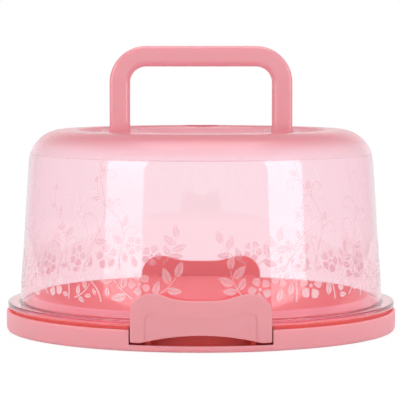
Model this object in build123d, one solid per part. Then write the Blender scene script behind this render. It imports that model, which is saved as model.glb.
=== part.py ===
from build123d import *
from math import asin, cos, hypot, radians, sin, sqrt, tan
import os

os.makedirs("parts", exist_ok=True)

# A round cake carrier: a tray with a raised platform, a clear lid with a denser dished cap, a carry
# handle that folds down into the dish, and two latches that hook over the lid's flange.
# Sizes are in millimetres. The origin is the centre of the tray's underside, +Z is up and the front
# is -Y. Every radius is measured from the carrier's upright axis unless its comment says otherwise.

# Tray
TRAY_RADIUS = 150.0  # skirt, at its widest
TRAY_WALL = 2.4
SKIRT_TUCK = 1.0  # how far the skirt draws in at the table
SKIRT_CURVE = 3.0  # height over which it draws in
SEAT_HEIGHT = 19.1  # the lid's flange rests here
RIM_DROP = 4.1  # skirt's top below the seat
PLATFORM_RISE = 6.9  # platform above the seat
PLATFORM_INSET = 9.8  # platform's edge from the dome's outside, at its foot
PLATFORM_FLARE = 1.8  # draft of the platform's side
PLATFORM_EDGE = 2.0  # rounding of the platform's edge
SEAT_EDGE = 0.6  # rounding of the seat ring's edge and foot
RIM_CHAMFER = 0.8  # on the skirt's top edge
RIB_COUNT = 12
RIB_THICKNESS = 1.8
RIB_DEPTH = 3.6  # how far the ribs hang below the platform's plate
HUB_RADIUS = 16.0
HOOP_SHARE = 0.585  # hoop's radius as a share of the platform's

# Lid
LID_WALL = 2.3
FLANGE_WIDTH = 9.2  # from the dome's outside to the flange's edge
DOME_DRAFT = 3.84  # degrees
FLANGE_INSET = 1.0  # the flange stops short of the skirt's radius
FLANGE_THICKNESS = 2.4
LIP_THICKNESS = 2.1
LIP_DROP = 1.4  # the lip hangs this far below the flange's underside
LIP_CLEARANCE = 0.5  # between the lip and the tray's seat ring
LIP_EDGE = 0.5  # rounding of the lip's lower edges
LIP_FILLET = 0.3  # between lip and flange
FLANGE_EDGE = 0.7
FLANGE_FILLET = 1.2  # between flange and dome
LID_TOP = 153.0
SHOULDER_RADIUS = 26.0  # of the shoulder's own curve
SEAM_RISE = 7.6  # the seam stands this far above the shoulder's centre
TONGUE_LENGTH = 4.0  # the dome's edge runs up inside the cap

# Dish in the top of the cap
CREST_WIDTH = 6.0  # flat top of the ring round the dish
CREST_ROUND = 5.0
DISH_SLOPE = 3.5  # the dish's wall leans in by this much
DISH_ROUND = 4.0
NOTCH_WIDTH = 32.0  # finger notch in the rear of the crest
NOTCH_DEPTH = 1.3

# Carry handle, and the ears it turns between
HANDLE_INSET = 21.9  # legs from the foot of the dish's wall
GRIP_INSET = 21.5  # grip from the foot of the dish's wall, when the handle lies folded
HANDLE_BAR = 15.8  # bar seen from the front
HANDLE_DEPTH = 15.0  # bar seen from the side
HANDLE_CORNER = 28.0  # outer corner
BAR_OUTER_ROUND = 3.0
BAR_INNER_ROUND = 5.0
HANDLE_PIVOT_DROP = 6.7  # pins below the crest
FLOOR_CLEARANCE = 0.3  # between the legs' round ends and the dish floor
SIDE_CLEARANCE = 0.4  # between a leg and each ear
EAR_THICKNESS = 6.0
EAR_ROUND = 6.4  # ear's top, about the pin
EAR_FOOT = 11.0  # half the ear's length where it meets the dish floor
HANDLE_PIN_RADIUS = 2.5
PIN_HEAD_RADIUS = 4.0
PIN_HEAD_THICKNESS = 1.5
RUNNING_CLEARANCE = 0.06  # radial, pin in the part that turns on it

# Latches
LATCH_WIDTH = 101.0
LATCH_SLIT = 0.9  # between the latch's side and the skirt
LATCH_CLEARANCE = 0.4  # between the flange's edge and the latch's inner face
LATCH_WALL = 3.4
LATCH_BULGE = 0.9  # the outer face swells by this much at mid height
LATCH_TOP = 41.6
LATCH_DIP = 4.7  # the top edge's middle is lower by this much
LATCH_CORNER = 15.3
LATCH_BOTTOM = 6.0
LATCH_ARCH = 6.2  # the bottom edge's middle is higher by this much
LATCH_ARCH_INSET = 7.5  # the arch starts this far from the latch's sides
LATCH_EDGE = 1.4  # rounding of the outer edges
LATCH_STEP_GAP = 1.8  # the plate thickens this far below the lid's lip
WAVE_REACH, WAVE_FALL = 0.57, 0.70  # shares of the run and dip where the wavy edge bends
PANEL_DEPTH = 0.5
PANEL_INSET = 10.5  # from the latch's sides
PANEL_DROP = 13.3  # the panel's line runs this far below the top edge
PANEL_DIP = 4.0
PANEL_CORNER = 6.0
HOOK_INSET = 4.5  # from the latch's sides
HOOK_WIDTH = 10.0
HOOK_BITE = 2.1  # overhang on the flange
HOOK_PLAY = 0.3  # above the flange, at the hook's root
HOOK_DEPTH = 2.6

# Latch hinge: each latch turns on two short pins that stand in lugs on the pocket's floor
LATCH_PIVOT_SETBACK = 0.6  # pins' line behind the plate's inner face, at the barrels' outer ends
LATCH_PIVOT_Z = 8.8
LATCH_PIN_RADIUS = 1.1
BARREL_INSET = 5.5  # from the latch's sides
BARREL_LENGTH = 5.4
LUG_THICKNESS = 3.7
LUG_ROUND = 2.3
LUG_FOOT = 6.5  # length of a lug's foot, which runs back into the pocket's wall
LUG_FOOT_HEIGHT = 0.5
BORE_SPARE = 0.4  # the barrel's blind bore is this much longer than its pin
BARREL_RADIUS = 2.7
HINGE_GAP = 0.4  # lug to barrel, along the pin
POCKET_DEPTH = 11.0
POCKET_FLOOR = 3.0
POCKET_UNDERSIDE = 1.0
LIP_TOP = 4.5  # the skirt runs on below the latch, up to this height

# Worked out from the sizes above
RIM_HEIGHT = SEAT_HEIGHT - RIM_DROP
PLATFORM_HEIGHT = SEAT_HEIGHT + PLATFORM_RISE
FLANGE_RADIUS = TRAY_RADIUS - FLANGE_INSET
DOME_FOOT_RADIUS = FLANGE_RADIUS - FLANGE_WIDTH  # outside, at the top of the flange
PLATFORM_RADIUS = DOME_FOOT_RADIUS - PLATFORM_INSET
HOOP_RADIUS = HOOP_SHARE * PLATFORM_RADIUS
SEAT_RADIUS = FLANGE_RADIUS - LIP_THICKNESS - LIP_CLEARANCE
FLANGE_TOP = SEAT_HEIGHT + FLANGE_THICKNESS
SHOULDER_Z = LID_TOP - SHOULDER_RADIUS
DRAFT = radians(DOME_DRAFT)
SHOULDER_TANGENT_Z = SHOULDER_Z + SHOULDER_RADIUS * sin(DRAFT)
SHOULDER_TANGENT_R = DOME_FOOT_RADIUS - (SHOULDER_TANGENT_Z - FLANGE_TOP) * tan(DRAFT)
SHOULDER_R = SHOULDER_TANGENT_R - SHOULDER_RADIUS * cos(DRAFT)
CREST_R = SHOULDER_R - CREST_WIDTH
PIVOT_Z = LID_TOP - HANDLE_PIVOT_DROP
DISH_FLOOR = PIVOT_Z - HANDLE_DEPTH / 2 - FLOOR_CLEARANCE
DISH_RADIUS = CREST_R - CREST_ROUND - DISH_SLOPE
HANDLE_WIDTH = 2 * (DISH_RADIUS - HANDLE_INSET)
HANDLE_REACH = DISH_RADIUS - GRIP_INSET  # top of the grip above its pins
LEG_X = (HANDLE_WIDTH - HANDLE_BAR) / 2
LATCH_HALF = LATCH_WIDTH / 2
LATCH_INNER_R = FLANGE_RADIUS + LATCH_CLEARANCE
LATCH_OUTER_R = LATCH_INNER_R + LATCH_WALL
LATCH_ARCH_HALF = LATCH_HALF - LATCH_ARCH_INSET
PANEL_HALF = LATCH_HALF - PANEL_INSET
HOOK_TO = LATCH_HALF - HOOK_INSET
HOOK_FROM = HOOK_TO - HOOK_WIDTH
BARREL_TO = LATCH_HALF - BARREL_INSET
LATCH_PIVOT_Y = sqrt((TRAY_RADIUS - TRAY_WALL) ** 2 - BARREL_TO**2) - LATCH_PIVOT_SETBACK
LUG_TO = BARREL_TO - BARREL_LENGTH - HINGE_GAP
LUG_FROM = LUG_TO - LUG_THICKNESS
POCKET_HALF = LATCH_HALF + LATCH_SLIT
BIG = 2 * TRAY_RADIUS  # longer than anything that it cuts


def turned(face):
    """Revolves a section drawn as (radius, height) round the carrier's axis."""
    return revolve(Plane.XZ * face, Axis.Z, 360)


def section(points, radii):
    """Closed section through (radius, height) points, each with its own corner radius."""
    return make_face(FilletPolyline(points, radius=radii, close=True))


def slab(x_from, x_to, z_from, z_to, y_from=-BIG, y_to=0.0):
    """Block between the given limits. Left alone, it covers the front half."""
    size = (x_to - x_from, y_to - y_from, z_to - z_from)
    middle = ((x_from + x_to) / 2, (y_from + y_to) / 2, (z_from + z_to) / 2)
    return Pos(*middle) * Box(*size)


def both_sides(solid):
    """The solid and its mirror image across the carrier's middle plane."""
    return solid + mirror(solid, Plane.YZ)


def to_rear(solid):
    """The same piece, turned half round the carrier's axis."""
    return Rot(0, 0, 180) * solid


def along_x(outline, x_from, x_to):
    """Extrudes an outline drawn as (y, height) from one x to another."""
    return Pos(x_from, 0, 0) * extrude(Plane.YZ * outline, x_to - x_from)


# ---------------------------------------------------------------------------------------------- tray


def skirt_radius(height):
    """Outside radius of the skirt, which curves in towards the table."""
    arc_radius = (SKIRT_CURVE**2 + SKIRT_TUCK**2) / (2 * SKIRT_TUCK)
    below = max(SKIRT_CURVE - height, 0.0)
    return TRAY_RADIUS - arc_radius + sqrt(arc_radius**2 - below**2)


def tray_section(inset, radii):
    """Half of the tray's section, drawn in from its outer face by inset, down to the table."""
    skirt = TRAY_RADIUS - inset
    top = FilletPolyline(
        (0, PLATFORM_HEIGHT - inset),
        (PLATFORM_RADIUS - inset, PLATFORM_HEIGHT - inset),
        (PLATFORM_RADIUS + PLATFORM_FLARE - inset, SEAT_HEIGHT - inset),
        (SEAT_RADIUS - inset, SEAT_HEIGHT - inset),
        (SEAT_RADIUS - inset, RIM_HEIGHT - inset),
        (skirt - RIM_CHAMFER, RIM_HEIGHT - inset),
        (skirt, RIM_HEIGHT - RIM_CHAMFER - inset),
        (skirt, SKIRT_CURVE),
        radius=radii,
    )
    curve = ThreePointArc(
        (skirt, SKIRT_CURVE),
        (skirt_radius(SKIRT_CURVE / 2) - inset, SKIRT_CURVE / 2),
        (skirt_radius(0) - inset, 0),
    )
    floor = Polyline((skirt_radius(0) - inset, 0), (0, 0), (0, PLATFORM_HEIGHT - inset))
    return make_face(top + curve + floor)


def ring(inner, outer, z_from, z_to):
    """Upright ring with square corners."""
    return turned(Pos((inner + outer) / 2, (z_from + z_to) / 2) * Rectangle(outer - inner, z_to - z_from))


def tray_ribs():
    """Spokes, a hub and a hoop under the platform's plate."""
    top = PLATFORM_HEIGHT - TRAY_WALL / 2
    bottom = PLATFORM_HEIGHT - TRAY_WALL - RIB_DEPTH
    outer = PLATFORM_RADIUS - TRAY_WALL / 2
    ribs = ring(HUB_RADIUS - RIB_THICKNESS, HUB_RADIUS, bottom, top)
    ribs += ring(HOOP_RADIUS - RIB_THICKNESS, HOOP_RADIUS, bottom, top)
    spoke = slab(HUB_RADIUS - RIB_THICKNESS / 2, outer, bottom, top, -RIB_THICKNESS / 2, RIB_THICKNESS / 2)
    for turn in range(RIB_COUNT):
        ribs += Rot(0, 0, 360 / RIB_COUNT * (turn + 0.5)) * spoke
    return ribs


def pocket_fill(mid_wall):
    """Walls and floor of the front latch's pocket, before it is hollowed, out to the skirt's mid-wall."""
    back = TRAY_RADIUS - POCKET_DEPTH - TRAY_WALL
    half = POCKET_HALF + TRAY_WALL
    block = slab(-half, half, POCKET_UNDERSIDE, SEAT_HEIGHT - TRAY_WALL / 2)
    return (block & mid_wall) - Cylinder(back, BIG)


def pocket_hollow():
    """Room for the front latch: behind the skirt, and a notch through the skirt above its lip."""
    back = TRAY_RADIUS - POCKET_DEPTH
    lip_inner = TRAY_RADIUS - TRAY_WALL
    behind = slab(-POCKET_HALF, POCKET_HALF, POCKET_FLOOR, SEAT_HEIGHT - TRAY_WALL) - Cylinder(back, BIG)
    behind &= Cylinder(lip_inner, BIG)
    notch = slab(-POCKET_HALF, POCKET_HALF, LIP_TOP, BIG) - Cylinder(SEAT_RADIUS, BIG)
    return behind + notch


def latch_lugs():
    """Two lugs on the front pocket's floor that hold the latch's pins."""
    foot = Pos(-LATCH_PIVOT_Y + LUG_ROUND / 2, POCKET_FLOOR) * Rectangle(
        LUG_FOOT, 2 * LUG_FOOT_HEIGHT, align=(Align.MIN, Align.CENTER)
    )
    about_pin = Pos(-LATCH_PIVOT_Y, LATCH_PIVOT_Z) * Circle(LUG_ROUND)
    return both_sides(along_x(make_hull(about_pin.edges() + foot.edges()), LUG_FROM, LUG_TO))


def latch_pin_bores(radius, spare=0.0):
    """Bores on the front latch's hinge line, as long as its pins and the spare."""
    bore = along_x(Pos(-LATCH_PIVOT_Y, LATCH_PIVOT_Z) * Circle(radius), LUG_FROM, BARREL_TO + spare)
    return both_sides(bore)


def base_tray():
    outer = turned(tray_section(0, [PLATFORM_EDGE, SEAT_EDGE, SEAT_EDGE, 0, 0, 0]))
    inner = turned(tray_section(TRAY_WALL, 0))
    fill = pocket_fill(turned(tray_section(TRAY_WALL / 2, 0)))
    hollow = pocket_hollow()
    lugs = latch_lugs() - latch_pin_bores(LATCH_PIN_RADIUS)
    tray = outer - inner + tray_ribs()
    tray += fill + to_rear(fill)
    tray -= hollow + to_rear(hollow)
    return tray + lugs + to_rear(lugs)


# ----------------------------------------------------------------------------------------------- lid


def lid_section(inset):
    """Section of the lid's dome, crest and dish, drawn in from the outer face by inset."""
    foot_z = SEAT_HEIGHT
    foot_r = DOME_FOOT_RADIUS + (FLANGE_TOP - foot_z) * tan(DRAFT)
    corner_r = DOME_FOOT_RADIUS - (LID_TOP - FLANGE_TOP) * tan(DRAFT)
    sideways = inset / cos(DRAFT)
    crest = CREST_R - CREST_ROUND + inset
    top = LID_TOP - inset
    floor = DISH_FLOOR - inset
    return section(
        [
            (0, foot_z),
            (foot_r - sideways, foot_z),
            (corner_r - sideways + inset * tan(DRAFT), top),
            (crest, top),
            (crest - DISH_SLOPE, floor),
            (0, floor),
        ],
        [0, 0, SHOULDER_RADIUS - inset, CREST_ROUND - inset, DISH_ROUND + inset, 0],
    )


def flange():
    """Flange round the dome's foot, with a lip that hangs over the tray's seat ring."""
    inner = DOME_FOOT_RADIUS - LID_WALL / cos(DRAFT) + FLANGE_THICKNESS * tan(DRAFT)
    points = [
        (inner, SEAT_HEIGHT),
        (FLANGE_RADIUS - LIP_THICKNESS, SEAT_HEIGHT),
        (FLANGE_RADIUS - LIP_THICKNESS, SEAT_HEIGHT - LIP_DROP),
        (FLANGE_RADIUS, SEAT_HEIGHT - LIP_DROP),
        (FLANGE_RADIUS, FLANGE_TOP),
        (DOME_FOOT_RADIUS, FLANGE_TOP),
        (DOME_FOOT_RADIUS - FLANGE_THICKNESS * tan(DRAFT), FLANGE_TOP + FLANGE_THICKNESS),
        (inner, FLANGE_TOP + FLANGE_THICKNESS / 2),
    ]
    radii = [0, LIP_FILLET, LIP_EDGE, LIP_EDGE, FLANGE_EDGE, FLANGE_FILLET, 0, 0]
    return turned(section(points, radii))


def on_shoulder(radius, angle):
    """Point of the shoulder's section at this radius and angle about the shoulder's own centre."""
    return (SHOULDER_R + radius * cos(angle), SHOULDER_Z + radius * sin(angle))


def above_seam():
    """Everything above the seam between dome and cap, less the tongue's room inside the cap's edge."""
    low = asin(SEAM_RISE / SHOULDER_RADIUS)
    high = low + TONGUE_LENGTH / SHOULDER_RADIUS
    middle = SHOULDER_RADIUS - LID_WALL / 2
    inner = SHOULDER_RADIUS - 2 * LID_WALL
    outer = SHOULDER_RADIUS + LID_WALL
    step = ThreePointArc(
        on_shoulder(middle, low), on_shoulder(middle, (low + high) / 2), on_shoulder(middle, high)
    )
    rest = Polyline(
        on_shoulder(middle, high),
        on_shoulder(inner, high),
        (0, on_shoulder(inner, high)[1] - 2 * SHOULDER_RADIUS),
        (0, LID_TOP + LID_WALL),
        (TRAY_RADIUS, LID_TOP + LID_WALL),
        on_shoulder(outer, low),
        on_shoulder(middle, low),
    )
    return turned(make_face(step + rest))


def lid_shell():
    """Dome, shoulder, crest and dish in one wall, before the seam parts them."""
    return turned(lid_section(0)) - turned(lid_section(LID_WALL))


def ear_outline():
    """Side view of an ear as (y, height): round about the pin, spreading to the dish floor."""
    foot = Pos(0, DISH_FLOOR) * Rectangle(2 * EAR_FOOT, LID_WALL, align=(Align.CENTER, Align.MAX))
    about_pin = Pos(0, PIVOT_Z) * Circle(EAR_ROUND)
    return make_hull(about_pin.edges() + foot.edges())


def ear_spans():
    """X limits of the two ears that hold the right-hand leg."""
    inner_face = LEG_X - HANDLE_BAR / 2 - SIDE_CLEARANCE
    outer_face = LEG_X + HANDLE_BAR / 2 + SIDE_CLEARANCE
    return (inner_face - EAR_THICKNESS, inner_face), (outer_face, outer_face + EAR_THICKNESS)


def handle_bore(radius):
    """Bores for the handle's pins, through both pairs of ears."""
    (x_from, _), (_, x_to) = ear_spans()
    return both_sides(along_x(Pos(0, PIVOT_Z) * Circle(radius), x_from, x_to))


def finger_notch():
    """Shallow saddle in the rear of the crest, with its hollow towards the dish."""
    bend = ((NOTCH_WIDTH / 2) ** 2 + NOTCH_DEPTH**2) / (2 * NOTCH_DEPTH)
    drum = Pos(0, 0, LID_TOP - NOTCH_DEPTH + bend) * Rot(90, 0, 0) * Cylinder(bend, BIG)
    return drum & slab(-NOTCH_WIDTH, NOTCH_WIDTH, 0, BIG, 0, CREST_R + CREST_WIDTH / 2)


def lid_cap(shell):
    cap = shell & above_seam()
    for x_from, x_to in ear_spans():
        cap += both_sides(along_x(ear_outline(), x_from, x_to))
    return cap - handle_bore(HANDLE_PIN_RADIUS) - finger_notch()


def lid_dome(shell):
    return shell - above_seam() + flange()


# -------------------------------------------------------------------------------------------- handle


def bar_section():
    """Section of the handle's bar: its inner edges are rounder than its outer ones."""
    half_bar = HANDLE_BAR / 2
    half_depth = HANDLE_DEPTH / 2
    points = [
        (-half_bar, -half_depth),
        (half_bar, -half_depth),
        (half_bar, half_depth),
        (-half_bar, half_depth),
    ]
    return section(points, [BAR_OUTER_ROUND, BAR_INNER_ROUND, BAR_INNER_ROUND, BAR_OUTER_ROUND])


def carry_handle():
    bottom = PIVOT_Z - HANDLE_DEPTH / 2
    top = PIVOT_Z + HANDLE_REACH - HANDLE_BAR / 2
    path = FilletPolyline(
        (-LEG_X, 0, bottom),
        (-LEG_X, 0, top),
        (LEG_X, 0, top),
        (LEG_X, 0, bottom),
        radius=HANDLE_CORNER - HANDLE_BAR / 2,
    )
    bar = sweep(Pos(-LEG_X, 0, bottom) * bar_section(), path=path)
    below = Rectangle(2 * HANDLE_DEPTH, HANDLE_DEPTH, align=(Align.CENTER, Align.MAX))
    corners = Pos(0, PIVOT_Z) * (below - Circle(HANDLE_DEPTH / 2))
    bar -= along_x(corners, -HANDLE_WIDTH, HANDLE_WIDTH)
    return bar - handle_bore(HANDLE_PIN_RADIUS + RUNNING_CLEARANCE)


def handle_pin():
    """Right-hand pin, with its head on the outside of the outer ear."""
    (x_from, _), (_, x_to) = ear_spans()
    axis = Pos(0, PIVOT_Z)
    shank = along_x(axis * Circle(HANDLE_PIN_RADIUS), x_from, x_to)
    head = along_x(axis * Circle(PIN_HEAD_RADIUS), x_to, x_to + PIN_HEAD_THICKNESS)
    return shank + head


# ------------------------------------------------------------------------------------------- latches


def latch_outer_radius(height):
    """Outer face of a latch: near the skirt's radius at the bottom, swelling at mid height."""
    low = TRAY_RADIUS + LATCH_CLEARANCE
    share = (height - LATCH_BOTTOM) / (LATCH_TOP - LATCH_BOTTOM)
    lean = (LATCH_OUTER_R - LATCH_BULGE - low) * share
    return low + lean + 4 * LATCH_BULGE * share * (1 - share)


def latch_face_arc(inset):
    middle = (LATCH_BOTTOM + LATCH_TOP) / 2
    bottom, top = LATCH_BOTTOM - LATCH_EDGE, LATCH_TOP + LATCH_EDGE
    return ThreePointArc(
        (latch_outer_radius(bottom) - inset, bottom),
        (latch_outer_radius(middle) - inset, middle),
        (latch_outer_radius(top) - inset, top),
    )


def latch_plate_section():
    """Section of a latch's plate: thick behind the pocket's mouth, stepped out past the flange's lip."""
    arc = latch_face_arc(0)
    step_z = SEAT_HEIGHT - LIP_DROP - LATCH_STEP_GAP
    inner_low = TRAY_RADIUS - TRAY_WALL
    inner = Polyline(
        arc @ 1,
        (LATCH_INNER_R, (arc @ 1).Y),
        (LATCH_INNER_R, step_z),
        (inner_low, step_z - (LATCH_INNER_R - inner_low)),
        (inner_low, (arc @ 0).Y),
        arc @ 0,
    )
    return make_face(arc + inner)


def wavy_top(half, hump_z, dip, corner):
    """Right half of a latch's wavy edge: a round corner, a hump, and an S down to the middle."""
    corner_arc = ThreePointArc(
        (half, hump_z - corner),
        (half - corner * (1 - cos(radians(45))), hump_z - corner * (1 - sin(radians(45)))),
        (half - corner, hump_z),
    )
    reach = half - corner
    wave = Spline(
        (reach, hump_z),
        (WAVE_REACH * reach, hump_z - WAVE_FALL * dip),
        (0, hump_z - dip),
        tangents=[(-1, 0), (-1, 0)],
    )
    return corner_arc, wave


def latch_outline():
    """Front view of a latch as (x, height)."""
    arch = ThreePointArc(
        (-LATCH_ARCH_HALF, LATCH_BOTTOM), (0, LATCH_BOTTOM + LATCH_ARCH), (LATCH_ARCH_HALF, LATCH_BOTTOM)
    )
    corner_arc, wave = wavy_top(LATCH_HALF, LATCH_TOP, LATCH_DIP, LATCH_CORNER)
    side = Polyline((LATCH_ARCH_HALF, LATCH_BOTTOM), (LATCH_HALF, LATCH_BOTTOM), corner_arc @ 0)
    right = side + corner_arc + wave
    left = mirror(right, Plane.YZ)
    face = make_face(arch + right + left)
    feet = face.vertices().group_by(Axis.Y)[0].sort_by(Axis.X)
    return fillet([feet[0], feet[-1]], LATCH_EDGE)


def panel_outline():
    """Front view of the shallow panel, which follows the wavy top and runs out at the bottom."""
    corner_arc, wave = wavy_top(PANEL_HALF, LATCH_TOP - PANEL_DROP, PANEL_DIP, PANEL_CORNER)
    side = Polyline((0, 0), (PANEL_HALF, 0), corner_arc @ 0)
    right = side + corner_arc + wave
    return make_face(right + mirror(right, Plane.YZ))


def from_front(outline):
    """Extrudes an outline drawn as (x, height) towards the front, from the carrier's axis."""
    return extrude(Plane.XZ * outline, BIG)


def latch_panel_cut():
    arc = latch_face_arc(PANEL_DEPTH)
    outside = Polyline(arc @ 1, (BIG, (arc @ 1).Y), (BIG, (arc @ 0).Y), arc @ 0)
    return turned(make_face(arc + outside)) & from_front(panel_outline())


def hook_sink(distance):
    """How far a hook's tip sinks before it is clear of the flange, this far from the middle."""
    rise = FLANGE_TOP - LATCH_PIVOT_Z
    tip = sqrt((FLANGE_RADIUS - HOOK_BITE) ** 2 - distance**2) - LATCH_PIVOT_Y
    edge = sqrt(FLANGE_RADIUS**2 - distance**2) - LATCH_PIVOT_Y
    return rise - sqrt(hypot(tip, rise) ** 2 - edge**2)


def latch_hooks():
    """Two hooks that reach over the flange. Their underside rises to the tip, so they swing clear."""
    tip = FLANGE_RADIUS - HOOK_BITE
    root = LATCH_INNER_R + LATCH_WALL / 3
    low = FLANGE_TOP + HOOK_PLAY
    tip_z = low + hook_sink(HOOK_FROM)
    points = [
        (root, low),
        (FLANGE_RADIUS, low),
        (tip, tip_z),
        (tip, tip_z + HOOK_DEPTH / 2),
        (root, low + HOOK_DEPTH + HOOK_BITE),
    ]
    hoop = turned(make_face(Polyline(points, close=True)))
    return both_sides(hoop & slab(HOOK_FROM, HOOK_TO, 0, BIG))


def latch_barrels():
    """Barrels on the latch's inner face that turn on the pins."""
    start = LUG_TO + HINGE_GAP
    middle = (-LATCH_PIVOT_Y, LATCH_PIVOT_Z)
    web = Pos(-LATCH_PIVOT_Y - BARREL_RADIUS / 2, LATCH_PIVOT_Z) * Rectangle(BARREL_RADIUS, 2 * BARREL_RADIUS)
    outline = Pos(*middle) * Circle(BARREL_RADIUS) + web
    return both_sides(along_x(outline, start, BARREL_TO)) & Cylinder(TRAY_RADIUS - TRAY_WALL / 2, BIG)


def lug_relief():
    """Room in the plate's inner face for the tray's lugs."""
    reach = hypot(LUG_TO, LATCH_PIVOT_Y + LUG_ROUND) + HINGE_GAP
    room = slab(LUG_FROM - HINGE_GAP, LUG_TO + HINGE_GAP, 0, LATCH_PIVOT_Z + 2 * LUG_ROUND)
    return both_sides(room & Cylinder(reach, BIG))


def latch():
    """Front latch, closed."""
    plate = (turned(latch_plate_section()) + latch_barrels()) & from_front(latch_outline())
    face = plate.faces().sort_by(lambda f: hypot(f.center().X, f.center().Y))[-1]
    plate = fillet(face.edges(), LATCH_EDGE)
    plate -= latch_panel_cut()
    plate -= lug_relief()
    plate += latch_hooks()
    return plate - latch_pin_bores(LATCH_PIN_RADIUS + RUNNING_CLEARANCE, BORE_SPARE)


def latch_pin():
    """Right-hand pin of the front latch."""
    return along_x(Pos(-LATCH_PIVOT_Y, LATCH_PIVOT_Z) * Circle(LATCH_PIN_RADIUS), LUG_FROM, BARREL_TO)


# --------------------------------------------------------------------------------------------- parts

shell = lid_shell()
front_latch = latch()
pin = latch_pin()
handle_pin_right = handle_pin()

parts = {
    "base_tray": base_tray(),
    "lid_dome": lid_dome(shell),
    "lid_cap": lid_cap(shell),
    "carry_handle": carry_handle(),
    "handle_pin_right": handle_pin_right,
    "handle_pin_left": mirror(handle_pin_right, Plane.YZ),
    "front_latch": front_latch,
    "rear_latch": to_rear(front_latch),
    "front_latch_pin_right": pin,
    "front_latch_pin_left": mirror(pin, Plane.YZ),
    "rear_latch_pin_right": to_rear(mirror(pin, Plane.YZ)),
    "rear_latch_pin_left": to_rear(pin),
}
for name, solid in parts.items():
    export_step(solid, f"parts/{name}.step")
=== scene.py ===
"""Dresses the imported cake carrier: finishes for its moulded pieces, the vine printed round its
dome, and the studio that it stands in. Lengths are in millimetres where a name ends in _MM, and
otherwise in metres."""

import math

import bpy
import numpy as np
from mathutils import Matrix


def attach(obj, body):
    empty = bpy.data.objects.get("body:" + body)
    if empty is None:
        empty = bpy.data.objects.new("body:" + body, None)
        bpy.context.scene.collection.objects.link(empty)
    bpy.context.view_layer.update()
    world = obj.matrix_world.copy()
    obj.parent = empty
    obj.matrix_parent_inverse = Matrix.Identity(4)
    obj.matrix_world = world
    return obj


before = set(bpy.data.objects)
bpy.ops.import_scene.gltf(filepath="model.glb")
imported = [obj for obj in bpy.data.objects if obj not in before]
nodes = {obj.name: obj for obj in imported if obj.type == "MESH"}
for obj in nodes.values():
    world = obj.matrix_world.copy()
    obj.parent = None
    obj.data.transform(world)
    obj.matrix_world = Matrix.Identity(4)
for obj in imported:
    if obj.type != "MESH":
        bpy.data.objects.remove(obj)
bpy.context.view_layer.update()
MM = 0.001

# ------------------------------------------------------------------------------------------ camera

CAMERA_PLACE = (0.0, -1.6317, 0.2069)
CAMERA_PITCH = 3.811  # degrees below level
CAMERA_LENS_MM = 190.4
CAMERA_SENSOR_MM = 36.0
CAMERA_SHIFT = -0.0025
CAMERA_REACH = 20.0


def make_camera():
    """Long lens, a little above the rim, looking slightly down at the front latch."""
    data = bpy.data.cameras.new("studio_camera")
    data.lens = CAMERA_LENS_MM
    data.sensor_width = CAMERA_SENSOR_MM
    data.shift_x = CAMERA_SHIFT
    data.clip_end = CAMERA_REACH
    camera = bpy.data.objects.new("studio_camera", data)
    camera.location = CAMERA_PLACE
    camera.rotation_euler = (math.radians(90.0 - CAMERA_PITCH), 0.0, 0.0)
    bpy.context.scene.collection.objects.link(camera)
    bpy.context.scene.camera = camera


# ------------------------------------------------------------------------ what all finishes share

NOISE_LOW, NOISE_HIGH = 0.3, 0.7  # nearly all of a noise's values lie between these
POLISH_DRIFT_MM = 12.0
LEVEL_ONLY = (1.0, 1.0, 0.0)  # times a place: leaves its height out


def linear(code):
    """sRGB hex to linear RGBA."""
    parts = [int(code[i : i + 2], 16) / 255.0 for i in (1, 3, 5)]
    return (*[c / 12.92 if c <= 0.04045 else ((c + 0.055) / 1.055) ** 2.4 for c in parts], 1.0)


def add_node(tree, kind, sockets=None, **settings):
    """Adds a node. sockets maps an input's name or number to its value, or to the output that
    feeds it."""
    made = tree.nodes.new(kind)
    for name, value in settings.items():
        setattr(made, name, value)
    for key, value in (sockets or {}).items():
        if isinstance(value, bpy.types.NodeSocket):
            tree.links.new(value, made.inputs[key])
        else:
            made.inputs[key].default_value = value
    return made


def new_material(name):
    """An empty node tree with its output, and the object's own coordinates in metres."""
    material = bpy.data.materials.new(name)
    material.use_nodes = True
    tree = material.node_tree
    tree.nodes.clear()
    output = add_node(tree, "ShaderNodeOutputMaterial")
    place = add_node(tree, "ShaderNodeTexCoord").outputs["Object"]
    return material, tree, output, place


def per_mm(size_mm):
    """Noise scale whose features are about this large."""
    return 1.0 / (size_mm * MM)


def distance_out(tree, place):
    """Distance from the upright axis: the length of the place with its height left out."""
    level = add_node(
        tree, "ShaderNodeVectorMath", {0: place, 1: LEVEL_ONLY}, operation="MULTIPLY"
    ).outputs["Vector"]
    return add_node(tree, "ShaderNodeVectorMath", {0: level}, operation="LENGTH").outputs["Value"]


def mould_polish(tree, place, roughness):
    """Roughness that drifts between two values, as the polish of a mould does."""
    drift = add_node(
        tree,
        "ShaderNodeTexNoise",
        {"Vector": place, "Scale": per_mm(POLISH_DRIFT_MM), "Detail": 3.0},
    ).outputs["Fac"]
    return add_node(
        tree,
        "ShaderNodeMapRange",
        {
            "Value": drift,
            "From Min": NOISE_LOW,
            "From Max": NOISE_HIGH,
            "To Min": roughness[0],
            "To Max": roughness[1],
        },
    ).outputs["Result"]


# ---------------------------------------------------------------------------------------- plastics

PIGMENT_DRIFT_MM = 40.0
POLYPROPYLENE_IOR = 1.49
RED_WANDERS_MM = 6.0  # how far red light goes inside pigmented plastic
WANDER_SHARES = (1.0, 0.22, 0.19)  # of that, by red, green and blue
STYRENE_IOR = 1.57
CROWN_FROM_MM, CROWN_TO_MM = 138.0, 151.5  # heights between which the crown's colour comes in
DISH_WALL_MM, CREST_MM = 93.0, 98.0  # distances out: none of it in the dish, all of it outside


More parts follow.
